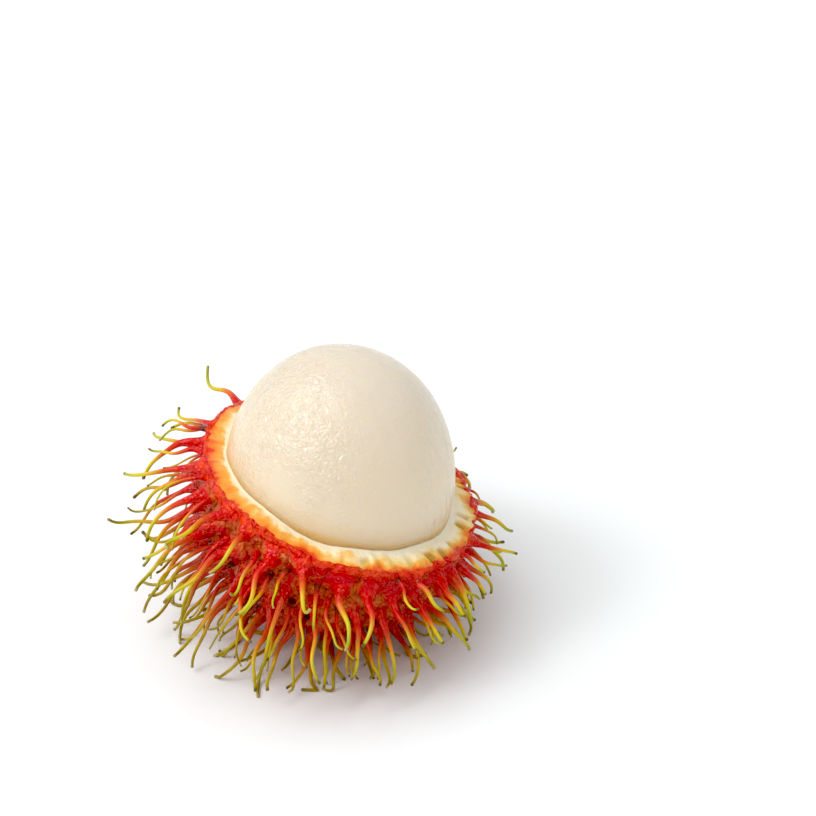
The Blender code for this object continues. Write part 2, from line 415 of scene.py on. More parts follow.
def rim_latitude(azimuth, radii, lift):
    """Latitude where an ellipsoid meets the wavy rim plane, moved up by lift.

    With a = tilt's sine times the radius across times cos(azimuth) and b = tilt's cosine times
    the radius up, a cos(lat) + b sin(lat) = height gives arcsin(height / |a, b|) - atan(a / b).
    """
    wave = sum(share * np.sin(number * azimuth + phase) for share, number, phase in RIM_WAVES)
    across = RIM_NORMAL[0] * radii[0] * np.cos(azimuth)
    along = RIM_NORMAL[2] * radii[2]
    height = RIM_WAVE * wave - RIM_DROP + lift
    return np.arcsin(height / np.hypot(across, along)) - np.arctan2(across, along)


def on_ellipsoid(azimuth, latitude, radii):
    """Points of the ellipsoid with these radii round the middle of the fruit."""
    return CENTRE + radii * ring_points(azimuth, np.cos(latitude), np.sin(latitude))


def up_the_peel(azimuth, rows, radii, lift):
    """Rows of an ellipsoid up to the tear: shares of the way from its lowest point, and points."""
    share = np.arange(1, rows + 1)[:, None] / rows
    latitude = share * (rim_latitude(azimuth, radii, lift) + math.pi / 2) - math.pi / 2
    return share, on_ellipsoid(azimuth, latitude, radii)


def raised(points, radii, height):
    """Points of an ellipsoid moved straight out of it by these heights."""
    return points + unit((points - CENTRE) / radii**2) * height[..., None]


def azimuth_of(points):
    """Azimuths of points, seen from the middle of the fruit."""
    return np.arctan2(points[..., 1] - CENTRE[1], points[..., 0] - CENTRE[0])


def low_side(azimuth):
    """1 on the side where the rim is low, falling smoothly to 0 on the other."""
    return smooth(np.cos(azimuth - LOW_SIDE_TURN), *LOW_SIDE_FADE)


def teeth(azimuth):
    """0 on the ribs and up to 1 between them: a cosine of the azimuth whose phase noise shifts.
    They fade out towards the front and the back."""
    ring = on_ellipsoid(azimuth, 0, OUTER_RADII)
    turns = round(2 * math.pi * OUTER_RADII[0] / TOOTH)
    wave = 0.5 - 0.5 * np.cos(azimuth * turns + noise(ring, *TOOTH_STRAY))
    depth = np.clip(TOOTH_MEAN + noise(ring, *TOOTH_DEPTHS), 0.0, 1)
    side = smooth(np.cos(azimuth - TOOTH_TURN), 0.0, 0.7)
    return smooth(wave, 0.05, 0.95) * depth * side


def torn_edge(azimuth):
    """How far the tear's outer edge sinks and how far it bulges out, with its scallops."""
    low = low_side(azimuth)
    part = HIGH_SIDE_SHARE + (1 - HIGH_SIDE_SHARE) * low
    return BEVEL * part, FLARE * part + SCALLOP * low * (1 - 2 * teeth(azimuth))


def below_tear(points, share):
    """Points moved down to the torn plane where they stick out of it, by this share of the way."""
    sunk = torn_edge(azimuth_of(points))[0]
    above = (points - CENTRE) @ RIM_NORMAL + RIM_DROP + sunk + CLEAR_OF_TEAR
    return points - RIM_NORMAL * (np.maximum(above, 0) * share)[..., None]


# %% [markdown]
# ## Where the spines stand
# Spines grow evenly spread but never in rows. The golden angle spreads points evenly over a sphere,
# and a small random nudge breaks its spirals. Points above the tear and on the stalk's scar are
# left out. The rule, the order of the random draws and the seed are those of the solid model, so
# each spine stands where its solid one does. Small, thin spines, which the solid model leaves
# out, come from a denser set by the same rule, kept only in the gaps between the others.

# %% Spine roots
SPACING = 0.0040
ROOT_JITTER = 0.022
RIM_MARGIN = 0.0013
SCAR_RADIUS = 0.0017
SCAR_CLEARANCE = 1.6
SEED = 7
SMALL_SEED = 5
SMALL_CROWD = 1.9  # tries for small spines, for each place that a large one has
SMALL_CLEARANCE = 0.0016  # a small spine stands at least this far from any large one


def spine_roots(random, crowd=1.0):
    """Point i stands at height -1 + (2 i + 1) / count, turned i times by the golden angle."""
    area = 4 * math.pi * OUTER_RADII[0] * (OUTER_RADII[0] + 2 * OUTER_RADII[2]) / 3
    count = int(crowd * area / (SPACING**2 * math.sqrt(3) / 2))
    index = np.arange(count)
    height = -1 + (2 * index + 1) / count
    turn = index * math.pi * (3 - math.sqrt(5))
    level = np.sqrt(1 - height**2)
    sphere = ring_points(turn, level, height)
    sphere = unit(sphere + random.normal(0, ROOT_JITTER, sphere.shape))
    roots = CENTRE + sphere * OUTER_RADII
    below_rim = (roots - CENTRE) @ RIM_NORMAL < -RIM_DROP - RIM_MARGIN
    beside_scar = np.hypot(roots[:, 0], roots[:, 1]) > SCAR_CLEARANCE * SCAR_RADIUS
    kept = below_rim & beside_scar
    return roots[kept], unit(sphere[kept] / OUTER_RADII)


def small_roots(random):
    """A denser set of roots, kept only in the gaps between the large spines."""
    more, more_normals = spine_roots(random, SMALL_CROWD)
    gap = np.linalg.norm(more[:, None] - roots, axis=2).min(axis=1)
    kept = gap > SMALL_CLEARANCE
    return more[kept], more_normals[kept]


growth = np.random.default_rng(SEED)
roots, normals = spine_roots(growth)
small_growth = np.random.default_rng(SMALL_SEED)
small_spots, small_normals = small_roots(small_growth)
print(len(roots), "spines and", len(small_spots), "small ones")

# %% [markdown]
# ## How a spine bends
# A rambutan's spine is soft: it leaves the skin straight, droops with its weight, bows to one side
# and ends in a small hook. There are more than two hundred, too many to place by hand, so the
# direction is a formula in s, the share of the way along, and adding up small steps gives the
# centre line. A spine that would pass through the table bends along it instead. The bow, the curl
# and the slight wiggle are left out of the solid model. They have random draws of their own, so
# that the rest is as it is there.

# %% Spine paths
SPINE_LENGTH = 0.0103
LENGTH_SPREAD = 0.16
SHORTER_BY = 0.22
LOW_LENGTH = 0.76
RIM_LENGTH = 0.66
RIM_REACH = 0.008
LEAN = (0.0, 0.28)
DROOP = (0.7, 1.7)
SWAY = (0.2, 0.8)
HOOK = (0.3, 1.5)
DROOP_GROWTH = 1.5
HOOK_GROWTH = 6
CROWDED_BELOW = 0.0015
FREE_ABOVE = 0.0105
SPREAD_OUTWARDS = 1.8
SPREAD_KEEPS = 0.35
PATH_STEPS = 48
CURL = (0.4, 4.5)  # the last part of the hook, which the solid model leaves out
CURL_GROWTH = 11
CURL_SINKS = 0.3
BOW = (0.2, 1.3)  # how far a spine bows sideways as a whole
BOW_GROWTH = 2.2
WIGGLE = 0.34  # how far the direction swings to and fro
WIGGLE_TURNS = 1.6
DETAIL_SEED = 5
BENDS_ON_TABLE = (0.1, 0.4)  # shares of the way between which it comes to lie on the table
LARGE_LENGTH = 1.09  # the slender ends go on a little beyond the solid model's blunt ones
SMALL_LENGTH = 0.85
SPINE_RADIUS = 0.00036
SPINE_TIP_RADIUS = 0.00019
TAPER = 1.4  # over 1, most of the taper is near the foot
FOOT_WIDE = 0.00085  # how much the foot adds to the radius at the skin
FOOT_REACH = 0.00175  # over this length
FILLET_WIDE = 0.0006  # and the rounded corner between foot and skin
FILLET_REACH = 0.00045


def spine_radius(s, length, girth=1.0, foot=1.0):
    """A slow taper plus two exponentials: the conical foot, and its corner with the skin."""
    x = s * length
    slender = SPINE_TIP_RADIUS + (SPINE_RADIUS - SPINE_TIP_RADIUS) * (1 - s) ** TAPER
    cone = FOOT_WIDE * np.exp(-x / FOOT_REACH) + FILLET_WIDE * np.exp(-x / FILLET_REACH)
    return girth * (slender + foot * cone)


def sideways_of(random, normals):
    """Random directions square to the normals."""
    return unit(np.cross(normals, unit(random.normal(size=normals.shape))))


def running_sum(steps):
    """Where the steps along the first axis lead, from zero on."""
    return np.concatenate([0 * steps[:1], np.cumsum(steps, axis=0)])


def spine_paths(random, roots, normals, share):
    """Centre lines as running sums of the direction start + lean + s^1.5 droop + s^2 sway
    + s^6 hook + s^11 curl + s^2.2 bow + sine wiggle, each step as long as the others.
    """
    count = len(roots)
    s = np.linspace(0, 1, PATH_STEPS + 1)
    sideways = sideways_of(random, normals)
    hook_side = sideways_of(random, normals)
    lean = random.uniform(*LEAN, (count, 1)) * sideways
    droop = random.uniform(*DROOP, (count, 1)) * DOWN
    sway = random.uniform(*SWAY, (count, 1)) * sideways
    hook = random.uniform(*HOOK, (count, 1)) * hook_side
    spread = random.uniform(1 - LENGTH_SPREAD, 1 + LENGTH_SPREAD, count)
    detail = np.random.default_rng(DETAIL_SEED)
    curl = detail.uniform(*CURL, (count, 1)) * unit(hook_side + CURL_SINKS * DOWN)
    wiggle = WIGGLE * sideways_of(detail, normals)
    phase = detail.uniform(0, 2 * math.pi, (count, 1))
    bow = detail.uniform(*BOW, (count, 1)) * sideways_of(detail, normals)
    room = np.clip((roots[:, 2:] - CROWDED_BELOW) / (FREE_ABOVE - CROWDED_BELOW), 0, 1)
    length = SPINE_LENGTH * share * spread * (1 - SHORTER_BY * normals[:, 0])
    below_rim = np.clip((CENTRE - roots) @ RIM_NORMAL / RIM_REACH, 0, 1)
    length = length * (RIM_LENGTH + (1 - RIM_LENGTH) * below_rim)
    length = length * (LOW_LENGTH + (1 - LOW_LENGTH) * room[:, 0])
    pace = length / PATH_STEPS
    outwards = unit((roots - CENTRE) * [1, 1, 0])
    flattened = unit(normals * [1, 1, SPREAD_KEEPS] + SPREAD_OUTWARDS * outwards)
    start = unit(normals * room + flattened * (1 - room))
    middle = (s[1:] + s[:-1])[:, None, None] / 2
    bent = middle**DROOP_GROWTH * droop * room + middle**2 * sway
    bent = bent + middle**HOOK_GROWTH * hook + middle**CURL_GROWTH * curl
    bent = bent + middle**BOW_GROWTH * bow
    bent = bent + np.sin(WIGGLE_TURNS * 2 * math.pi * middle + phase) * wiggle
    step = unit(start + lean + bent) * pace[None, :, None]
    z = roots[:, 2] + running_sum(step[..., 2])
    z = np.maximum(z, spine_radius(s[:, None], length) * smooth(s, *BENDS_ON_TABLE)[:, None])
    run = np.sqrt(np.maximum(pace**2 - np.diff(z, axis=0) ** 2, 0))
    heading = unit(step[..., :2] + 1e-5 * outwards[:, :2])
    xy = roots[:, :2] + running_sum(heading * run[..., None])
    paths = np.concatenate([xy, z[..., None]], axis=2)
    return roots, normals, paths.transpose(1, 0, 2), start, length


families = (
    spine_paths(growth, roots, normals, LARGE_LENGTH),
    spine_paths(small_growth, small_spots, small_normals, SMALL_LENGTH),
)
spots, spot_normals, paths, starts, lengths = [np.concatenate(pair) for pair in zip(*families)]

# %% [markdown]
# ## Skin round the paths: the spines
# A ring of points is carried along each centre line, turned as little as possible on the way so
# that it doesn't twist. The foot widens into the skin, and the last rings close in a little bead,
# as a real spine's dark, dried tip does. The attribute "fibre" is a place on a spine squeezed
# lengthwise, so noise looked up there comes out as long strands.

# %% Spines
SPINE_SIDES = 12
BODY_RINGS = 23
RING_CROWDING = 1.25  # over 1, the rings stand closer near the foot
BEAD_RINGS = 5
BEAD_SWELL = 1.15
BEAD_SPAN = (-0.35, 0.9)  # shares of a right angle that the bead's rings run over
BEAD_CAP = 0.15  # its end sticks out by this share of its radius
ROOT_DEPTH = 0.0009  # the first ring lies this far under the skin
ROOT_CAP = 0.0001
FLUTES = 5
FLUTE_DEPTH = 0.05
FLUTE_FADE = (0.9, 0.2)  # shares of the way along: gone at the first, full below the second
SUNK_BELOW_TEAR = (0.25, 0.1)  # likewise for staying under the torn face
RING_START = np.array([0.3, 0.5, 0.2])  # added to the normal, it sets where a ring begins
GIRTH = (0.88, 1.14)
SMALL_GIRTH = (0.60, 0.85)
SMALL_FOOT = 0.45
FOOT_TOTAL = 0.0022  # a whole foot needs this much skin between it and the tear
LEAST_FOOT = 0.3  # and every foot keeps this share of its width
FIBRE_STRETCH = 0.12  # the fibres' pattern is stretched along the spine by one over this
SKIN_COLOURED = (0.0002, 0.0012)  # metres from the root over which the skin's colour ends


def at_share(s):
    """Points at these shares of the way along every path, between the two nearest steps."""
    place = s * PATH_STEPS
    low = np.minimum(place.astype(int), PATH_STEPS - 1)
    part = (place - low)[None, :, None]
    return paths[:, low] * (1 - part) + paths[:, low + 1] * part


def carried_rings(along, start):
    """Two directions across each step of each path, turned as little as possible on the way."""
    first = np.empty_like(along)
    ring = unit(np.cross(along[:, 0], start))
    for i in range(along.shape[1]):
        ring = unit(ring - along[:, i] * (along[:, i] * ring).sum(axis=1, keepdims=True))
        first[:, i] = ring
    return first, np.cross(along, first)


def make_spines():
    """Rings of angle a at c + r (cos a first + sin a second), where r is the radius formula with
    five shallow flutes that fade towards the tip."""
    count = len(paths)
    detail = np.random.default_rng(DETAIL_SEED + 1)
    tone, bruise = detail.uniform(0, 1, (2, count))
    small = np.arange(count) >= len(roots)
    bruise = bruise * small
    thin, thick = detail.uniform(*SMALL_GIRTH, count), detail.uniform(*GIRTH, count)
    girth = np.where(small, thin, thick)[:, None]
    to_edge = (CENTRE - spots) @ RIM_NORMAL - RIM_DROP - torn_edge(azimuth_of(spots))[0]
    foot = np.clip(to_edge / FOOT_TOTAL, LEAST_FOOT, 1) * np.where(small, SMALL_FOOT, 1.0)
    s = np.linspace(0, 1, BODY_RINGS) ** RING_CROWDING
    centres = at_share(s)
    along = unit(np.gradient(centres, axis=1))
    bead_angle = np.linspace(*BEAD_SPAN, BEAD_RINGS) * math.pi / 2
    bead = SPINE_TIP_RADIUS * BEAD_SWELL * girth
    bead_centres = centres[:, -1:] + along[:, -1:] * (bead * np.sin(bead_angle))[..., None]
    root = (spots - starts * ROOT_DEPTH)[:, None]
    centres = np.concatenate([root, centres[:, :-1], bead_centres], axis=1)
    body = spine_radius(s[None, :-1], lengths[:, None], girth, foot[:, None])
    radius = np.concatenate([body[:, :1], body, bead * np.cos(bead_angle)], axis=1)
    share = np.concatenate([[0.0], s[:-1], np.ones(BEAD_RINGS)])
    along = unit(np.gradient(centres, axis=1))
    first, second = carried_rings(along, unit(spot_normals + RING_START))
    angle = all_round(SPINE_SIDES)
    turned = angle[None, :] + np.arange(count)[:, None]
    flutes = FLUTE_DEPTH * np.sin(FLUTES * turned)[:, None] * smooth(share, *FLUTE_FADE)[:, None]
    ring = ring_points(angle, radius[..., None] * (1 + flutes), 0)
    grid = centres[:, :, None] + first[:, :, None] * ring[..., :1]
    grid = grid + second[:, :, None] * ring[..., 1:2]
    grid = below_tear(grid, smooth(share, *SUNK_BELOW_TEAR)[:, None])
    grid[..., 2] = np.maximum(grid[..., 2], ABOVE_TABLE)
    tips = centres[:, -1] + along[:, -1] * bead * BEAD_CAP
    ends = np.stack([root[:, 0] - starts * ROOT_CAP, tips], axis=1)
    ends[..., 2] = np.maximum(ends[..., 2], ABOVE_TABLE)
    tip = np.concatenate([np.zeros(BODY_RINGS), np.ones(BEAD_RINGS)])
    free = smooth(share * lengths[:, None], *SKIN_COLOURED)
    fibre = ring_points(angle, SPINE_RADIUS, (share * lengths[:, None])[..., None] * FIBRE_STRETCH)
    fibre[..., 1] += np.arange(count)[:, None, None] * SPINE_RADIUS
    attributes = {
        "fibre": fibre,
        "along": share[None, :, None],
        "tone": tone[:, None, None],
        "bruise": bruise[:, None, None],
        "tip": tip[None, :, None],
        "foot": free[..., None],
    }
    return closed_surfaces("spines", grid, ends, attributes)


spines = make_spines()
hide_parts("rind")

# %% [markdown]
# ## The outer skin
# Round each spine's root the skin rises in a low mound, and shallow furrows run where two mounds
# meet. That relief is worked out from how far each point of the skin is from its nearest root,
# and how much further from the next one. An ellipsoid moved out by that height stays one skin.

# %% Skin
SKIN_COLUMNS = 600
SKIN_ROWS = 140
SKIN_THICKNESS = 0.0007
SKIN_EDGE_ROWS = 4
SKIN_BACK_ROWS = 12
MOUND_HEIGHT = 0.0007
MOUND_WIDE = 0.0011
SWELL_HEIGHT = 0.0003
SWELL_WIDE = 0.0023
FURROW_DEPTH = 0.00022
FURROW_WIDE = 0.0004
LUMPS = (0.00026, 0.0012, 1)
GRAIN = (0.00010, 0.0006, 2)
EDGE_BULGE = 0.14  # the skin's edge is rounded by this share of its thickness
CALM_EDGE = 0.7  # near the tear the mounds lose this share of their height
CALM_FROM = (0.95, 1)  # between these shares of the way up
RAGGED = (0.00018, 0.0017, 3)  # the torn skin's edge strays
FRAYED = (0.00012, 0.0006, 4)
SKIN_SHRINKS = 0.00006  # the skin's edge lies this far under the pith's


def root_distances(points):
    """Distances from each point to its nearest root and to the next nearest."""
    flat = points.reshape(-1, 3) - CENTRE
    spots = roots - CENTRE
    squares = (flat**2).sum(1)[:, None] + (spots**2).sum(1) - 2 * flat @ spots.T
    nearest = np.sqrt(np.maximum(np.partition(squares, 1, axis=1)[:, :2], 0))
    return nearest[:, 0].reshape(points.shape[:-1]), nearest[:, 1].reshape(points.shape[:-1])


def skin_height(points):
    """Mound exp(-(d/w)^2), a wide swell, less a furrow where the two distances are alike."""
    near, far = root_distances(points)
    mound = np.exp(-((near / MOUND_WIDE) ** 2))
    furrow = np.exp(-(((far - near) / FURROW_WIDE) ** 2))
    swell = SWELL_HEIGHT * smooth(near, SWELL_WIDE, 0)
    return MOUND_HEIGHT * mound + swell - FURROW_DEPTH * furrow, mound, furrow


def make_skin():
    """A shell: the outer ellipsoid plus the relief, a rounded edge that strays, and a back."""
    azimuth = all_round(SKIN_COLUMNS)
    ring = on_ellipsoid(azimuth, 0, OUTER_RADII)
    sunk, bulge = torn_edge(azimuth)
    lift = noise(ring, *RAGGED) + noise(ring, *FRAYED) - SKIN_SHRINKS - sunk
    share, outer = up_the_peel(azimuth, SKIN_ROWS, OUTER_RADII, lift)
    height, mound, furrow = skin_height(outer)
    height = height * (1 - CALM_EDGE * smooth(share, *CALM_FROM))
    height = height + noise(outer, *LUMPS) + noise(outer, *GRAIN)
    outer = raised(outer, OUTER_RADII, height + bulge * smooth(share, *FLARE_FROM))
    back_radii = OUTER_RADII - SKIN_THICKNESS
    share, inner = up_the_peel(azimuth, SKIN_BACK_ROWS, back_radii, lift)
    inner = raised(inner, back_radii, bulge * smooth(share, *FLARE_FROM))
    part = (np.arange(1, SKIN_EDGE_ROWS + 1) / (SKIN_EDGE_ROWS + 1))[:, None, None]
    edge = outer[-1] * (1 - part) + inner[-1] * part
    edge = edge + RIM_NORMAL * SKIN_THICKNESS * EDGE_BULGE * np.sin(math.pi * part)
    grid = np.concatenate([outer, edge, inner[::-1]])[None]
    grid[..., 2] = np.maximum(grid[..., 2], ABOVE_TABLE)
    ends = np.array([[CENTRE + DOWN * OUTER_RADII, CENTRE + DOWN * back_radii]])
    more = ((0, 0), (0, SKIN_EDGE_ROWS + SKIN_BACK_ROWS), (0, 0))
    mound, furrow = np.pad([mound, furrow], more, mode="edge")
    attributes = {"foot": mound[None], "furrow": furrow[None]}
    return closed_surfaces("peel_skin", grid, ends, attributes)


skin = make_skin()
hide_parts("rind")

# %% [markdown]
# ## The pith and its torn face
# Under the skin lies a thick, pale pith. The torn face is a strip between two rings, raised in the
# middle, with fine ribs running across. Where the rim is low the pith was pulled, and the ribs
# stand as teeth with pits between them. The face's inner edge climbs the flesh in a hollow curve,
# as a thin lip that clings to it, so no gap shows between the two.

# %% Pith
PITH_COLUMNS = 960
PITH_OUT_ROWS = 30
FACE_ROWS = 18
PITH_IN_ROWS = 16
FACE_CROWN = 0.00028  # the torn face stands up by this much in its middle
LIP = 0.0006  # the pith leans in by this much, into the flesh
LIP_LEANS = (0.93, 1.0)  # between these shares of the way up
LIP_HEIGHT = 0.00045  # and climbs it by this much, in a hollow curve
LIP_FROM = 0.74  # that starts at this share of the way across
SKIN_AT_TEAR = 0.0003  # thickness of the skin where it shows on the torn face
PITH_SINKS = 0.0006  # further down the pith lies deeper by this much
PITH_RAGGED = (0.00015, 0.0017, 3)  # the pith's edge strays with the skin's
SLANT = (0.035, 0.0035, 10)  # a pit strays round the rim on its way across
PIT_DEPTHS = (0.6, 0.0016, 11)  # and varies in depth
PIT_MEAN = 0.75
RIBS = (0.5, 0.0007, 7)
PROFILE_SHIFT = (0.16, 0.0023, 13)  # pits and ribs end at varying shares of the way across
CROWN_GRAIN = (0.00008, 0.0009, 8)  # the torn face's fine unevenness
TOOTH_DEPTH = 0.00066
RIB_DEPTH = 0.00012
STREAK_SLANT = 0.0006  # how far the streaks' pattern changes across the face


def make_pith():
    """Face point at share w across: the line from outer to inner ring, plus a crown sin(pi w)
    and the lip's square curve, less pits and ribs times a profile deepest near the skin."""
    azimuth = all_round(PITH_COLUMNS)
    ring = on_ellipsoid(azimuth, 0, OUTER_RADII)
    stray = noise(ring, *PITH_RAGGED)
    out_radii = OUTER_RADII - SKIN_AT_TEAR
    sunk, bulge = torn_edge(azimuth)
    share, outer = up_the_peel(azimuth, PITH_OUT_ROWS, out_radii, stray - sunk)
    grown = smooth(share, *FLARE_FROM)
    outer = raised(outer, out_radii, (bulge + PITH_SINKS) * grown - PITH_SINKS)
    share, inner = up_the_peel(azimuth, PITH_IN_ROWS, INNER_RADII, stray * 0.5 + LIP_HEIGHT)
    lean = LIP * smooth(share, *LIP_LEANS)[..., None]
    inner = inner - (inner - CENTRE) / INNER_RADII * lean
    w = (np.arange(1, FACE_ROWS + 1) / (FACE_ROWS + 1))[:, None]
    low = low_side(azimuth)
    flat = outer[-1] * (1 - w[..., None]) + (inner[-1] - RIM_NORMAL * LIP_HEIGHT) * w[..., None]
    pits = teeth(azimuth + noise(ring, *SLANT) * w)
    pits = pits * np.clip(PIT_MEAN + noise(flat, *PIT_DEPTHS), 0.15, 1.2)
    ribs = 0.5 + noise(ring, *RIBS)
    shifted = w + noise(ring, *PROFILE_SHIFT)
    profile = smooth(shifted, 0.0, 0.16) * smooth(shifted, 0.72, 0.36)
    furrows = (TOOTH_DEPTH * pits + RIB_DEPTH * (1 - 0.6 * low) * ribs) * profile
    crown = (FACE_CROWN + noise(ring, *CROWN_GRAIN)) * np.sin(math.pi * w)
    crown = crown + LIP_HEIGHT * (np.maximum(w - LIP_FROM, 0) / (1 - LIP_FROM)) ** 2
    face = flat + RIM_NORMAL * (crown - furrows)[..., None]
    grid = np.concatenate([outer, face, inner[::-1]])[None]
    ends = np.array([[CENTRE + DOWN * out_radii, CENTRE + DOWN * INNER_RADII]])
    across = np.concatenate([np.zeros(PITH_OUT_ROWS), w[:, 0], np.ones(PITH_IN_ROWS)])[:, None]
    attributes = {
        "across": across[None],
        "furrow": np.pad(pits * profile, ((PITH_OUT_ROWS, PITH_IN_ROWS), (0, 0)))[None],
        "low_side": low[None, None],
        "streak": ring_points(azimuth, OUTER_RADII[0], across * STREAK_SLANT)[None],
    }
    return closed_surfaces("peel_pith", grid, ends, attributes)


pith = make_pith()
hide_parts("rind")

# %% [markdown]
# ## The stalk's scar
# The fruit stands on the stub where its stalk was. It is a small woody disc under the skin's lowest
# point, a profile of radius and height turned round the axis.

# %% Stalk scar
SCAR_TOP = 0.0032
SCAR_FLARE = 1.5
SCAR_COLUMNS = 48
SCAR_ROWS = 7
FLAT_RADII = [0.5, 0.93, 1.0]  # the underside's rings, as shares of the scar's radius
FLAT_HEIGHTS = [0.0, 0.0, 0.0001]


def make_scar():
    """A turned profile, from the middle of the flat underside out and up into the skin."""
    angle = all_round(SCAR_COLUMNS)
    t = np.arange(1, SCAR_ROWS + 1) / SCAR_ROWS
    radius = np.concatenate([FLAT_RADII, 1 + (SCAR_FLARE - 1) * t**2]) * SCAR_RADIUS
    height = np.concatenate([FLAT_HEIGHTS, SCAR_TOP * t])
    uneven = 1 + 0.03 * np.sin(7 * angle + 1) + 0.02 * np.sin(12 * angle)
    grid = ring_points(angle, radius[:, None] * uneven, height[:, None])
    ends = np.array([[[0, 0, 0], [0, 0, SCAR_TOP]]])
    return closed_surfaces("stalk_scar", grid[None], ends, {})


scar = make_scar()
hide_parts("rind")

# %% [markdown]
# ## The flesh
# The flesh is a plump upright egg: the solid's own ellipsoid, with broad dents too faint to see
# except in the highlight, and fine creases that run up and down its sides.

# %% Flesh
FLESH_COLUMNS = 320
FLESH_ROWS = 200
DENTS = (0.00009, 0.007, 11)
CREASES = (0.000018, 0.0011, 12)
FIBRE_SQUEEZE = 0.12  # the creases' pattern is stretched upwards by one over this


def make_flesh():
    """The ellipsoid moved along its normals by broad noise and by narrow upright creases."""
    azimuth = all_round(FLESH_COLUMNS)
    latitude = (np.arange(1, FLESH_ROWS) / FLESH_ROWS - 0.5)[:, None] * math.pi
    points = on_ellipsoid(azimuth, latitude, FLESH_RADII)
    up = (points[..., 2] - CENTRE[2]) * FIBRE_SQUEEZE
    fibre = ring_points(azimuth, FLESH_RADII[0], up)
    dents = noise(points, *DENTS) - DENTS[0]
    creases = noise(fibre, *CREASES) * np.cos(latitude) ** 2
    grid = raised(points, FLESH_RADII, dents + creases)[None]
    ends = CENTRE + np.array([[-1.0], [1.0]]) * [0, 0, FLESH_RADII[2] - DENTS[0]]
    return closed_surfaces("pale_flesh", grid, ends[None], {"fibre": fibre[None]})


flesh = make_flesh()
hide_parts("flesh")

# %% [markdown]
# ## Finish of the skin
# Fresh rambutan skin is crimson and wet, orange next to the tear, and covered with fine grains
# that catch the light, with pale glints painted on some of them. Between the spines it has patches
# that dried in ochre and brick swirls, and its furrows are painted dark and its lower part a deeper
# red, both as painted shade. The feet of the spines grow out of it without a seam, so one function
# gives the colour of both, from noise, the furrow and foot attributes and the height above the
# torn plane.

# %% Skin finish
CRIMSON = (0.62, 0.006, 0.006)
MAGENTA = (0.58, 0.006, 0.018)
DEEP_RED = (0.26, 0.004, 0.004)
FURROW_PAINTED_SHADE = (0.22, 0.02, 0.008)
TEAR_RED = (0.84, 0.075, 0.014)
BRICK = (0.52, 0.055, 0.018)
OCHRE = (0.66, 0.175, 0.048)
PAINTED_GLINT = (0.88, 0.44, 0.36)
PATCH, MOTTLE, SWIRL, LUMP = 0.0045, 0.0013, 0.0010, 0.0011  # sizes of lumps, in metres
WET_GRAIN, FINE_GRAIN, GLINT_PATCH = 0.00048, 0.0005, 0.0022


def skin_colour(paint, foot, furrow):
    """The skin's colour with painted shade in furrows and low down, and 1 where it is dried. Foot
    and furrow are 1 where those are.
    """
    above = paint.above_rim()
    edge = above.step(-0.0030, -0.0014)
    lower = above.step(-0.003, -0.011)
    patches = paint.lumps(PATCH, distortion=0.6)
    small = paint.lumps(MOTTLE)
    swirls = paint.lumps(SWIRL, 3, 1.5)
    dry = patches + small * 0.35 + furrow * 0.12 + lower * 0.1 - foot * 0.25 - edge * 0.3
    dry = dry.step(0.57, 0.76)
    colour = small.step(0.4, 0.6).mix(MAGENTA, CRIMSON)
    # Random mottles of deeper red, with more of them towards the bottom as painted shade.
    deep_red_and_low_shade = (patches * 0.4 + small * 0.6 + lower * 0.11).step(0.48, 0.66)
    colour = (deep_red_and_low_shade * 0.5).mix(colour, DEEP_RED)
    colour = (edge * 0.8).mix(colour, small.step(0.4, 0.65).mix(TEAR_RED, CRIMSON))
    colour = dry.mix(colour, swirls.step(0.38, 0.62).mix(BRICK, OCHRE))
    # Furrows between the mounds are painted dark: painted shade.
    return (furrow * (1 - edge) * 0.5).mix(colour, FURROW_PAINTED_SHADE), dry


def grains_with_painted_glints(paint, colour, share):
    """The colour, with painted pale glints on fine grains where share is 1, and the grains' height.
    """
    grains = 1 - paint.grains(WET_GRAIN)
    fine = paint.lumps(FINE_GRAIN)
    lit = paint.lumps(GLINT_PATCH, 1).step(0.4, 0.6)
    # Pale glints painted on the grains, in patches: painted highlights.
    painted_glints = share * grains.step(0.70, 0.92) * fine.step(0.46, 0.60) * lit * 0.42
    return painted_glints.mix(colour, PAINTED_GLINT), grains + fine * 0.3


def skin_recipe(paint):
    """The skin's colour with painted glints, rougher where it is dry, under bumps of lumps and
    grains.
    """
    colour, dry = skin_colour(paint, paint.attribute("foot"), paint.attribute("furrow"))
    colour, grains = grains_with_painted_glints(paint, colour, 1)
    normal = paint.bump(paint.lumps(LUMP), 0.0006, strength=0.9)
    normal = paint.bump(grains + paint.lumps(SWIRL, 3, 1.5) * dry, 0.00026, normal)
    return {"Base Color": colour, "Roughness": 0.12 + dry * 0.2, "Normal": normal}


finish(skin, "wet_skin", skin_recipe, Specular_IOR_Level=0.36)

# %% [markdown]
# ## Finish of the spines
# A spine runs from crimson through orange and yellow to green, up to a dried, brown tip. A ramp on
# the share of the way along does that, and each spine's random tone slides its ramp up or down,
# so that some stay red for longer. Pale strands run up the lower half, fibres whose pale colour is
# a painted sheen. Spines low on the fruit are painted darker and browner, as painted shade, pale
# glints are painted on the grains of the feet, and some of the small ones have a bruised foot.

# %% Spine finish
SPINE_COLOURS = [
    (0.00, CRIMSON),
    (0.28, (0.58, 0.01, 0.01)),
    (0.42, (0.64, 0.08, 0.024)),
    (0.53, (0.68, 0.24, 0.03)),
    (0.64, (0.7, 0.45, 0.03)),
    (0.77, (0.58, 0.51, 0.026)),
    (1.00, (0.36, 0.39, 0.022)),
]
BRUISE = (0.085, 0.03, 0.012)
LOW_PAINTED_SHADE = (0.24, 0.07, 0.014)
DARK_TIP = (0.11, 0.07, 0.02)
PALE_TIP = (0.42, 0.33, 0.13)
STRAND_SHEEN = (0.8, 0.14, 0.08)
SPINE_MOTTLE = 0.0016
STRAND_WIDE = 0.00017


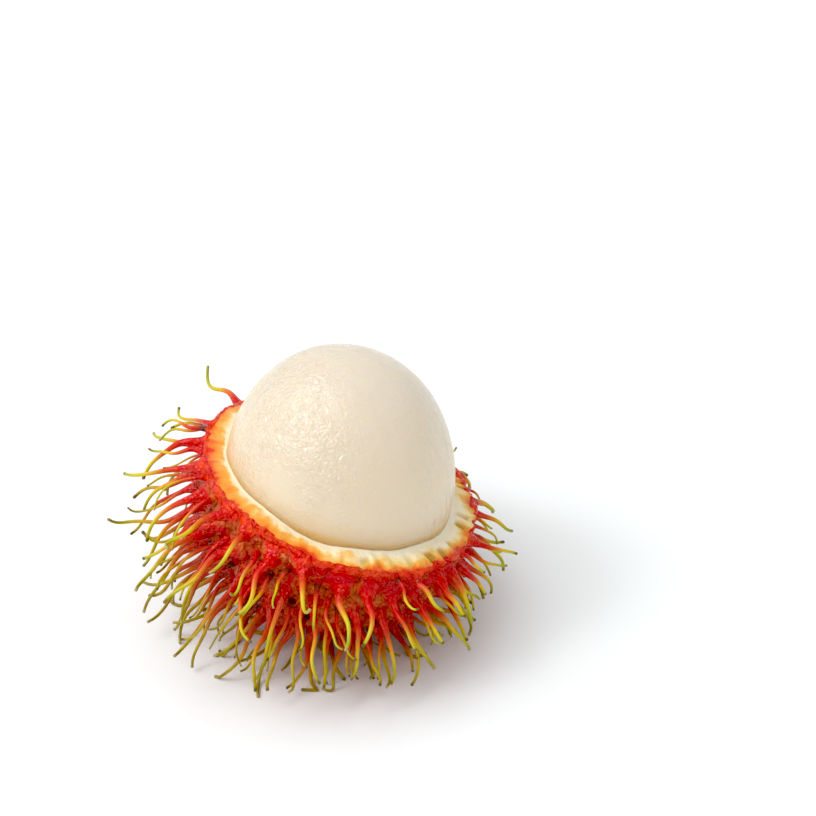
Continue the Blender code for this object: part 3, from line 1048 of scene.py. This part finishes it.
def spine_recipe(paint):
    """The ramp, then painted low shade, tips, dark mottles, strands with a painted sheen, the
    skin's colour on the foot, painted glints and bruises.
    """
    values = "along", "tone", "tip", "foot", "bruise"
    along, tone, tip, foot, bruise = map(paint.attribute, values)
    mottle = paint.lumps(SPINE_MOTTLE)
    slide = along + (tone - 0.5) * 0.26 + (mottle - 0.5) * 0.16
    colour = slide.ramp(SPINE_COLOURS)
    # Spines low on the fruit are painted darker and browner: painted shade.
    lower = paint.above_rim().step(-0.007, -0.019)
    colour = (lower * mottle * 0.95).mix(colour, LOW_PAINTED_SHADE)
    dried = tone.step(0.3, 0.9).mix(DARK_TIP, PALE_TIP)
    colour = (tip.step(0.1, 0.9) * 0.85).mix(colour, dried)
    rough = 1 - along.step(0.08, 0.4)
    shade = paint.lumps(LUMP)
    colour = (rough * shade.step(0.48, 0.68) * 0.6).mix(colour, DEEP_RED)
    # Strands up the lower half: fibres, whose pale colour is a painted sheen.
    strands = paint.lumps(STRAND_WIDE, 1, where=paint.attribute("fibre", "Vector"))
    strand_sheen = along.step(0.55, 0.2) * strands.step(0.48, 0.57) * mottle.step(0.3, 0.6)
    colour = (strand_sheen * 0.42).mix(colour, STRAND_SHEEN)
    peel, dry = skin_colour(paint, foot, 0)
    colour, grains = grains_with_painted_glints(paint, foot.mix(peel, colour), rough)
    bruise = bruise.step(0.45, 0.65) * (mottle * 0.7 + 0.6) * along.step(0.30, 0.10)
    colour = (bruise * foot.step(0.1, 0.7)).mix(colour, BRUISE)
    normal = paint.bump((grains + shade) * (rough * 0.92 + 0.08), 0.00024)
    roughness = 0.30 - rough * 0.17 + dry * (1 - foot) * 0.18
    return {"Base Color": colour, "Roughness": roughness, "Normal": normal}


finish(spines, "soft_spine", spine_recipe, Specular_IOR_Level=0.30)

# %% [markdown]
# ## Finish of the pith
# The torn face goes from red-orange at the skin to cream at the flesh, warmer on the high side of
# the rim, so two ramps are mixed by the low-side attribute. Noise moves the place on the ramp:
# stretched across the face it draws fibres, and in larger lumps blotches. The pits of the low
# side are painted ochre, as painted shade, and ochre blotches stray round them. Light spreads
# inside the pith, by subsurface scattering.

# %% Pith finish
WARM_FACE = [
    (0.00, (0.7, 0.03, 0.01)),
    (0.07, (0.8, 0.11, 0.018)),
    (0.22, (0.86, 0.26, 0.032)),
    (0.55, (0.88, 0.42, 0.075)),
    (0.70, (0.9, 0.6, 0.23)),
    (0.80, (0.93, 0.8, 0.56)),
]
PALE_FACE = [
    (0.00, (0.68, 0.04, 0.012)),
    (0.17, (0.84, 0.19, 0.026)),
    (0.35, (0.86, 0.45, 0.07)),
    (0.53, (0.88, 0.69, 0.32)),
    (0.82, (0.92, 0.84, 0.64)),
]
OCHRE_AND_PIT_SHADE = (0.6, 0.34, 0.05)
STREAK, PITH_PATCH, FRAY = 0.0011, 0.0032, 0.00035  # sizes of lumps, in metres


def pith_recipe(paint):
    """Two ramps across the face, their places shifted by noise, then ochre: painted shade in the
    pits, and blotches.
    """
    across, low = paint.attribute("across"), paint.attribute("low_side")
    streaks = paint.lumps(STREAK, 3, where=paint.attribute("streak", "Vector"))
    patches, frays = paint.lumps(PITH_PATCH), paint.lumps(FRAY)
    away = 1 - across.step(0.7, 0.95)
    way = across + (streaks - 0.5) * away * (0.55 - low * 0.3) + (frays - 0.5) * 0.3
    way = way + (patches - 0.44) * away * 1.5
    low = low + (patches - 0.5) * 0.4
    colour = low.step(0.1, 0.9).mix(way.ramp(WARM_FACE), way.ramp(PALE_FACE))
    # Ochre in the pits is painted shade; in the random blotches it is the pith's own colour.
    pit_shade_and_blotches = (paint.attribute("furrow") * 1.3 + (patches - 0.5) * 0.8).step(0.1, 1.0)
    colour = pit_shade_and_blotches.mix(colour, OCHRE_AND_PIT_SHADE)
    normal = paint.bump(streaks + frays * 0.4, 0.00024, strength=0.7)
    return {"Base Color": colour, "Normal": normal}


finish(
    pith,
    "torn_pith",
    pith_recipe,
    Roughness=0.32,
    Subsurface_Weight=0.25,
    Subsurface_Radius=(1.0, 0.5, 0.2),
    Subsurface_Scale=0.0012,
)

# %% [markdown]
# ## Finish of the stalk's scar
# The stub of the stalk is dry wood: matt, in two browns mixed by fine noise.

# %% Scar finish
STALK_BROWNS = ((0.10, 0.05, 0.02), (0.28, 0.17, 0.08))
STALK_GRAIN = 0.0006


def scar_recipe(paint):
    """Two browns mixed by noise, which is also the bump."""
    grain = paint.lumps(STALK_GRAIN, 3)
    return {"Base Color": grain.mix(*STALK_BROWNS), "Normal": paint.bump(grain, 0.0002)}


finish(scar, "dry_stalk", scar_recipe, Roughness=0.8)

# %% [markdown]
# ## Finish of the flesh
# The flesh is like wet, cloudy glass: light enters, spreads and comes out warmer, by subsurface
# scattering. The side that has begun to dry faces the light; there the flesh is painted a little
# greyer, as painted shade, and a bump of short wrinkles breaks its highlight up. On the other side
# fibres run up and down, with a few browner creases. Towards the torn plane the flesh is more and
# more amber, and where it meets the pith a narrow amber band is painted shade and painted light
# reflected from the pith.

# %% Flesh finish
FLESH_PALE = (0.77, 0.66, 0.485)
FLESH_CLOUD = (0.77, 0.67, 0.52)
FLESH_TOP = (0.74, 0.67, 0.56)
FLESH_AMBER = (0.77, 0.56, 0.31)
CONTACT_SHADE_AND_BOUNCE = (0.8, 0.46, 0.15)
CREASE_BROWN = (0.66, 0.46, 0.22)
LIT_SIDE_SHADE = (0.66, 0.575, 0.455)
CLOUD, FIBRE, WRINKLE, WAVE = 0.009, 0.0009, 0.00074, 0.0030  # sizes of lumps, in metres


def flesh_recipe(paint):
    """Two pale tones, ambers towards the rim with a painted contact shade, creases and a lit side
    painted greyer as shade, under three bumps.
    """
    above = paint.above_rim()
    across = paint.node("ShaderNodeSeparateXYZ", sockets={"Vector": paint.place()}, output="X")
    clouds, waves = paint.lumps(CLOUD), paint.lumps(WAVE, 1, 0.4)
    fibres = paint.lumps(FIBRE, where=paint.attribute("fibre", "Vector"))
    colour = clouds.mix(FLESH_PALE, FLESH_CLOUD)
    colour = above.step(0.006, 0.020).mix(colour, FLESH_TOP)
    colour = ((1 - above.step(-0.001, 0.0045)) * 0.75).mix(colour, FLESH_AMBER)
    # A narrow amber band where the flesh meets the pith: painted shade and painted light reflected
    # from the pith.
    colour = (1 - above.step(-0.0002, 0.0011)).mix(colour, CONTACT_SHADE_AND_BOUNCE)
    creased = fibres.step(0.52, 0.66) * across.step(0.0116, 0.0145) * 0.3
    colour = (creased * above.step(0.016, 0.006)).mix(colour, CREASE_BROWN)
    # The mask named dried is the side that faces the light: its colour is painted greyer there, as
    # painted shade.
    dried = across.step(0.008, -0.006) * above.step(0.021, 0.013) * across.step(-0.016, -0.010)
    colour = (dried * above.step(0.0015, 0.0080) * 0.45).mix(colour, LIT_SIDE_SHADE)
    normal = paint.bump(fibres * across.step(0.006, 0.012), 0.00030)
    normal = paint.bump(waves, 0.00026, normal)
    wrinkles = paint.lumps(WRINKLE, 1, 1.4) * (dried * clouds.step(0.3, 0.6) * 0.85 + 0.15)
    normal = paint.bump(wrinkles, 0.00046, normal)
    return {"Base Color": colour, "Normal": normal}


finish(
    flesh,
    "moist_flesh",
    flesh_recipe,
    Roughness=0.25,
    Specular_IOR_Level=1.0,
    Subsurface_Weight=1.0,
    Subsurface_Radius=(1.0, 0.75, 0.45),
    Subsurface_Scale=0.007,
)
